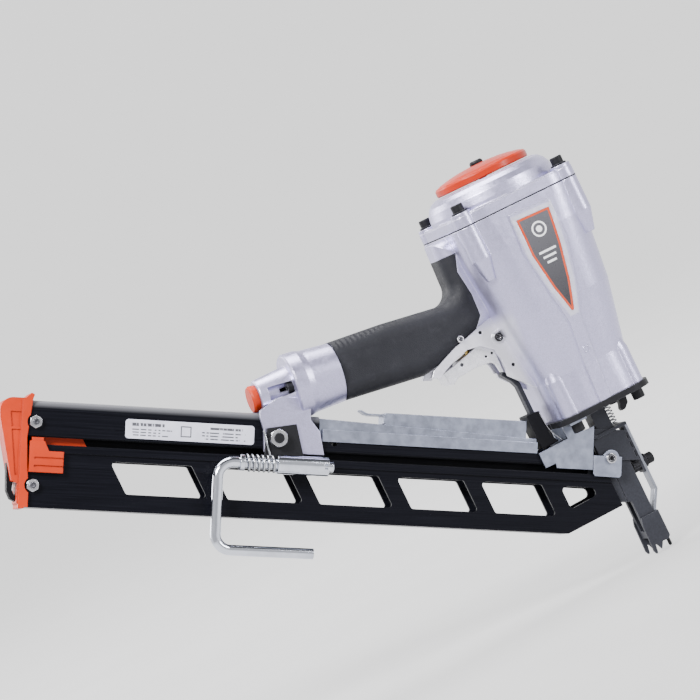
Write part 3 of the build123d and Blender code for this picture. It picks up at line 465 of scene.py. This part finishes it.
def frame_mark(bm, place, width, height, line, rise):
    """A raised square outline, as cast marks are."""
    corners = [(sx * width / 2, sy * height / 2) for sx, sy in ((-1, -1), (1, -1), (1, 1), (-1, 1))]
    rings = []
    for x, y in corners:
        inner = (x - math.copysign(line, x), y - math.copysign(line, y))
        rings.append([bm.verts.new(place @ Vector(c)) for c in
                      ((x, y, -0.0003), (x, y, rise), (*inner, rise), (*inner, -0.0003))])
    for k in range(4):
        here, after = rings[k], rings[(k + 1) % 4]
        for i in range(4):
            bm.faces.new((here[i], here[(i + 1) % 4], after[(i + 1) % 4], after[i]))


def closing_spring(name, node):
    """A copy of a coil spring's mesh that rides on the housing in place of the part's own node."""
    made = bpy.data.objects.new(name, nodes[node].data.copy())
    bpy.context.scene.collection.objects.link(made)
    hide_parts(node)
    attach(made, "housing")
    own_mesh(made)


closing_spring("head_valve_coil", "head_valve_spring")
closing_spring("trigger_valve_coil", "trigger_valve_spring")
closing_spring("contact_coil", "contact_spring")

ENDS = ((-1, "near"), (1, "far"))
EAR = 0.0155          # how far out the trigger's ears reach
PIVOT_X, PIVOT_Z = -0.0518, 0.1999          # the trigger's pin
VALVE_PIN_X, VALVE_PIN_Z = -0.0819, 0.2120
for side, end in ENDS:
    ring_piece(f"pivot_ring_{end}", (PIVOT_X, side * EAR, PIVOT_Z), (0, side, 0),
               0.0055, 0.0004, "trigger_metal", "housing")
    ring_piece(f"grip_eyelet_{end}", (VALVE_PIN_X, side * 0.0188, VALVE_PIN_Z), (0, side, 0),
               0.0023, 0.0005, "trigger_metal", "housing")

ARM_WIRE = [(-46.6, -10.3, 131), (-46.3, -10.4, 121), (-44.2, -10.5, 111), (-39.5, -11.5, 103.5)]
wire("arm_block_wire", ARM_WIRE, 0.00035, "bright_steel", "housing")

CAST_SQUARE = placing((0.0006, -0.04395, 0.162), (0, -1, -0.17))
piece("cast_square", lambda bm: frame_mark(bm, CAST_SQUARE, 0.0044, 0.0054, 0.0006, 0.00045),
      "housing_paint", "housing")


def hole_shade_or_pin_end(name, origin, side, radius, depth, body, steps=24):
    """A black lining in a blind hole or a socket, as painted shade for its depth, or with no depth a
    crimped end for a solid pin.
    """
    top = -0.00008 if depth else 0.00012
    floor = -depth if depth else 0.00003
    wall = 0.00012 if depth else radius * 0.4
    section = [(1e-6, floor), (radius - wall, floor), (radius - wall * 0.9, top), (radius, top),
               (radius, floor - 0.0001), (1e-6, floor - 0.0001)]
    return piece(name, lambda bm: lathe(bm, section, placing(origin, (0, side, 0)), steps),
                 "black_steel", body)


# A name, X, Z, how far out it lies, its radius, its depth and its body.
PINS = (("ear_hole_upper", -0.0639, 0.2095, EAR, 0.00146, 0.0018, "housing"),
        ("ear_hole_lower", -0.0505, 0.1750, EAR, 0.00146, 0.0018, "housing"),
        ("trigger_hole_front", -0.0609, 0.1906, 0.0106, 0.00106, 0.0015, "trigger"),
        ("trigger_hole_rear", -0.0665, 0.1901, 0.0106, 0.00106, 0.0015, "trigger"),
        ("lever_pin_end", -0.0877, 0.1928, 0.0105, 0.00145, 0.0, "trigger"),
        ("valve_pin_end", VALVE_PIN_X, VALVE_PIN_Z, 0.0196, 0.00148, 0.0, "housing"))
# Holes with a depth get black linings as painted shade; those without are dark pin ends.
for name, x, z, reach, radius, depth, body in PINS:
    for side, end in ENDS:
        hole_shade_or_pin_end(f"{name}_{end}", (x, side * reach, z), side, radius, depth, body)

# The faces of the two clip screws and of the trigger's pin, and black linings in their sockets as painted
# shade.
CLIP_FACE = [(0.0022, -0.0003), (0.0022, 0.00022), (0.0029, 0.00022), (0.0033, -0.0003)]
for side, end in ENDS:
    screw = (-0.0106, side * 0.0178, 0.0725)
    piece(f"clip_face_{end}", lambda bm: lathe(bm, CLIP_FACE, placing(screw, (0, side, 0))),
          "black_steel", "housing")
    hole_shade_or_pin_end(f"clip_socket_{end}", screw, side, 0.0021, 0.0018, "housing", steps=6)
PIVOT_HEAD = (PIVOT_X, -0.0169, PIVOT_Z)
hole_shade_or_pin_end("pivot_socket", PIVOT_HEAD, -1, 0.00182, 0.0011, "housing", steps=6)
PIVOT_FACE = [(0.0019, -0.0002), (0.0019, 0.00022), (0.0034, 0.00022), (0.0038, -0.0002)]
piece("pivot_face", lambda bm: lathe(bm, PIVOT_FACE, placing(PIVOT_HEAD, (0, -1, 0))),
      "black_steel", "housing")
for v, y, end in ((61.8, -0.01705, "upper"), (13.3, -0.01555, "lower")):
    hole_shade_or_pin_end(f"bolt_end_{end}", mag(508, y * 1000, v), -1, 0.00245, 0.0, "housing")


# ---- stage, lights and camera ----
SWEEP_STEPS = 96


def studio():
    """A round sweep: a pale floor that curves up into a pale wall."""
    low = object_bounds()[0].z
    profile = [(0.0, low)] + [(2.2 + 0.9 * k, low) for k in range(4)]
    profile += [(4.9 + 2.0 * math.sin(a), low + 2.0 - 2.0 * math.cos(a)) for a in
                [math.radians(d) for d in range(6, 91, 6)]]
    profile += [(6.9, low + 5.0)]
    bm = bmesh.new()
    rows = []
    angles = [2 * math.pi * k / SWEEP_STEPS for k in range(SWEEP_STEPS)]
    for r, h in profile:
        ring = [(r * math.cos(a), r * math.sin(a), h) for a in angles] if r else [(0, 0, h)]
        rows.append([bm.verts.new(c) for c in ring])
    for lower, upper in zip(rows, rows[1:]):
        for k in range(SWEEP_STEPS):
            j = (k + 1) % SWEEP_STEPS
            if len(lower) == 1:
                bm.faces.new((lower[0], upper[k], upper[j]))
            else:
                bm.faces.new((lower[k], upper[k], upper[j], lower[j]))
    mesh = bpy.data.meshes.new("studio_sweep")
    bm.to_mesh(mesh)
    bm.free()
    for polygon in mesh.polygons:
        polygon.use_smooth = True
    sweep = bpy.data.objects.new("studio_sweep", mesh)
    bpy.context.scene.collection.objects.link(sweep)
    s = Shader("studio_paper", Roughness=0.95, Specular_IOR_Level=0.0, Emission_Color=(1.0, 1.0, 1.0, 1.0))
    glow = s.range(s.axes()[1], -2.0, 1.0, 0.62, 1.3)
    s.tree.links.new(glow, s.surface.inputs["Emission Strength"])
    s.colour(s.blend(s.range(s.noise(6, 3), 0.3, 0.7), (0.17, 0.17, 0.172), (0.19, 0.19, 0.192)))
    sweep.data.materials.append(s.material)


def area(name, place, target, size, power, tone=(1, 1, 1)):
    light = bpy.data.lights.new(name, "AREA")
    light.shape, light.size, light.size_y = "RECTANGLE", size[0], size[1]
    light.energy, light.color = power, tone
    made = bpy.data.objects.new(name, light)
    bpy.context.scene.collection.objects.link(made)
    made.location = place
    made.rotation_euler = (Vector(target) - Vector(place)).to_track_quat("-Z", "Y").to_euler()


studio()
CENTRE = Vector((-0.1624, 0.0, 0.2425))
area("key", (-1.5, -1.5, 2.0), CENTRE, (1.0, 0.8), 190)
area("fill", (1.7, -1.9, 0.8), CENTRE, (0.5, 1.5), 60, (0.98, 0.99, 1.0))
area("top", (-0.1, 0.4, 2.4), CENTRE, (2.0, 1.4), 130)
area("back", (-1.6, 1.9, 1.3), CENTRE, (1.4, 1.4), 45)

world = bpy.data.worlds.new("studio_world")
bpy.context.scene.world = world
world.use_nodes = True
world.node_tree.nodes["Background"].inputs["Color"].default_value = (1.0, 1.0, 1.0, 1.0)
world.node_tree.nodes["Background"].inputs["Strength"].default_value = 0.15

# The tool stands upright here, while the view is rolled so that it seems to rest on its claws and hook.
ROLL = math.radians(25.8)
CAMERA_DISTANCE = 2.304
back = Vector((-0.2656, -0.9635, 0.035)).normalized()
level = Vector((0.9641, -0.2656, 0.0)).normalized()
level = (level - back * level.dot(back)).normalized()
upward = back.cross(level)
right = level * math.cos(ROLL) - upward * math.sin(ROLL)
above = level * math.sin(ROLL) + upward * math.cos(ROLL)
camera = bpy.data.objects.new("camera", bpy.data.cameras.new("camera"))
camera.data.lens, camera.data.sensor_width = 150, 36
turn = Matrix((right, above, back)).transposed().to_4x4()
camera.matrix_world = Matrix.Translation(CENTRE + back * CAMERA_DISTANCE) @ turn
bpy.context.scene.collection.objects.link(camera)
bpy.context.scene.camera = camera
